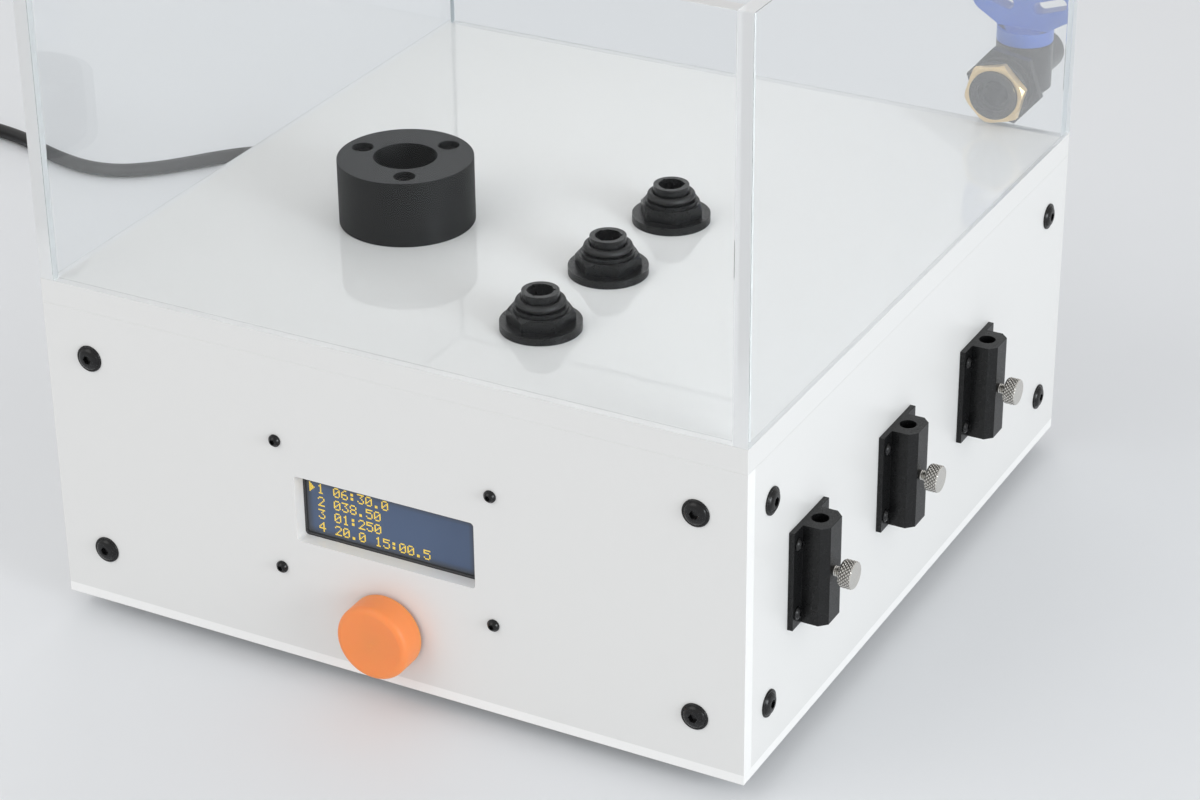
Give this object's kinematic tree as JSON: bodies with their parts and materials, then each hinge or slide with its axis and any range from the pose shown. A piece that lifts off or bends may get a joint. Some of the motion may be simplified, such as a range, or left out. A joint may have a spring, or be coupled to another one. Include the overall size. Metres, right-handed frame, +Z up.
{
  "type": "film processor",
  "caption": "Benchtop film processor: white acrylic base with a display, control knob, hose ports and tube clamps under an open clear tank with a drain tap.",
  "frame": {"origin": "on the floor under the middle of the outline, measured without the mains lead", "axes": "+Z up, the display and knob face -Y, the tube clamps face +X"},
  "size_m": [0.76, 0.4555, 0.307],
  "materials": {
    "white_acrylic": "gloss",
    "clear_acrylic": "clear",
    "black_anodised": "satin",
    "black_nylon": "satin",
    "black_screw": "gloss",
    "nickel": "knurled",
    "steel": "satin",
    "brass": "satin",
    "rubber": "matte",
    "orange_plastic": "translucent",
    "blue_plastic": "gloss",
    "circuit_board": "satin",
    "display_blue": "clear",
    "white_nylon": "satin",
    "cord_sheath": "matte",
    "grey_plastic": "satin",
    "clear_hose": "translucent"
  },
  "bodies": {
    "base": {"bottom_plate": "white_acrylic", "rubber_feet": "rubber", "base_screws": "black_screw", "corner_posts": "white_nylon", "front_panel": "white_acrylic", "rear_panel": "white_acrylic", "left_panel": "white_acrylic", "right_panel": "white_acrylic", "panel_screws": "black_screw", "deck_plate": "white_acrylic", "tank_front_wall": "clear_acrylic", "tank_rear_wall": "clear_acrylic", "tank_left_wall": "clear_acrylic", "tank_right_wall": "clear_acrylic", "column_mount": "black_anodised", "column_mount_screws": "black_screw", "port_fitting_1": "black_nylon", "port_fitting_2": "black_nylon", "port_fitting_3": "black_nylon", "port_o_rings": "rubber", "port_backnuts": "black_nylon", "display_board": "circuit_board", "display_frame": "black_anodised", "display_glass": "display_blue", "display_screws": "black_screw", "display_spacers": "white_nylon", "display_nuts": "steel", "encoder_body": "steel", "encoder_nut": "steel", "tube_clamp_1": "black_nylon", "tube_clamp_2": "black_nylon", "tube_clamp_3": "black_nylon", "clamp_screws": "black_screw", "tap_body": "black_nylon", "tap_nut": "brass", "tap_seals": "rubber", "mains_inlet": "black_nylon", "cord_connector": "cord_sheath", "cord_run": "cord_sheath", "cord_coil": "cord_sheath", "coil_tie": "rubber", "mains_plug": "cord_sheath", "power_supply": "steel", "controller_board": "circuit_board", "board_spacers": "white_nylon", "valve_block": "grey_plastic", "pump_body": "grey_plastic", "inner_hoses": "clear_hose"},
    "plunger": {"encoder_plunger": "black_nylon"},
    "knob": {"encoder_shaft": "steel", "control_knob": "orange_plastic"},
    "tap_handle": {"tap_plug": "blue_plastic"},
    "rocker": {"power_rocker": "black_nylon"},
    "rotor": {"pump_rotor": "white_nylon"},
    "pad_1": {"clamp_pad_1": "white_nylon"},
    "thumb_1": {"thumb_screw_1": "nickel"},
    "pad_2": {"clamp_pad_2": "white_nylon"},
    "thumb_2": {"thumb_screw_2": "nickel"},
    "pad_3": {"clamp_pad_3": "white_nylon"},
    "thumb_3": {"thumb_screw_3": "nickel"}
  },
  "joints": [
    {"name": "knob_push", "type": "slide", "parent": "base", "child": "plunger", "axis": [0, 1, 0], "range_m": [0, 0.0005], "stiffness_N_per_m": 2000},
    {"name": "knob_turn", "type": "hinge", "parent": "plunger", "child": "knob", "pos_m": [-0.0085, -0.172, 0.032], "axis": [0, -1, 0], "continuous": true},
    {"name": "tap_turn", "type": "hinge", "parent": "base", "child": "tap_handle", "pos_m": [0.107, 0.1605, 0.1625], "axis": [0, 0, 1], "range_deg": [0, 90]},
    {"name": "power_switch", "type": "hinge", "parent": "base", "child": "rocker", "pos_m": [-0.0765, 0.134, 0.044], "axis": [1, 0, 0], "range_deg": [0, 10]},
    {"name": "pump_spin", "type": "hinge", "parent": "base", "child": "rotor", "pos_m": [0.0325, -0.012, 0.039], "axis": [0, 1, 0], "continuous": true},
    {"name": "thumb_feed_1", "type": "slide", "parent": "base", "child": "pad_1", "axis": [1, 0, 0], "range_m": [-0.0014, 0.0028]},
    {"name": "thumb_turn_1", "type": "hinge", "parent": "pad_1", "child": "thumb_1", "pos_m": [0.1515, -0.122, 0.0755], "axis": [1, 0, 0], "range_deg": [-720, 1440]},
    {"name": "thumb_feed_2", "type": "slide", "parent": "base", "child": "pad_2", "axis": [1, 0, 0], "range_m": [-0.0014, 0.0028]},
    {"name": "thumb_turn_2", "type": "hinge", "parent": "pad_2", "child": "thumb_2", "pos_m": [0.1515, -0.042, 0.0755], "axis": [1, 0, 0], "range_deg": [-720, 1440]},
    {"name": "thumb_feed_3", "type": "slide", "parent": "base", "child": "pad_3", "axis": [1, 0, 0], "range_m": [-0.0014, 0.0028]},
    {"name": "thumb_turn_3", "type": "hinge", "parent": "pad_3", "child": "thumb_3", "pos_m": [0.1515, 0.038, 0.0755], "axis": [1, 0, 0], "range_deg": [-720, 1440]}
  ],
  "couplings": [
    {"joint": "thumb_turn_1", "follows": "thumb_feed_1", "rad_per_m": 8976},
    {"joint": "thumb_turn_2", "follows": "thumb_feed_2", "rad_per_m": 8976},
    {"joint": "thumb_turn_3", "follows": "thumb_feed_3", "rad_per_m": 8976}
  ]
}
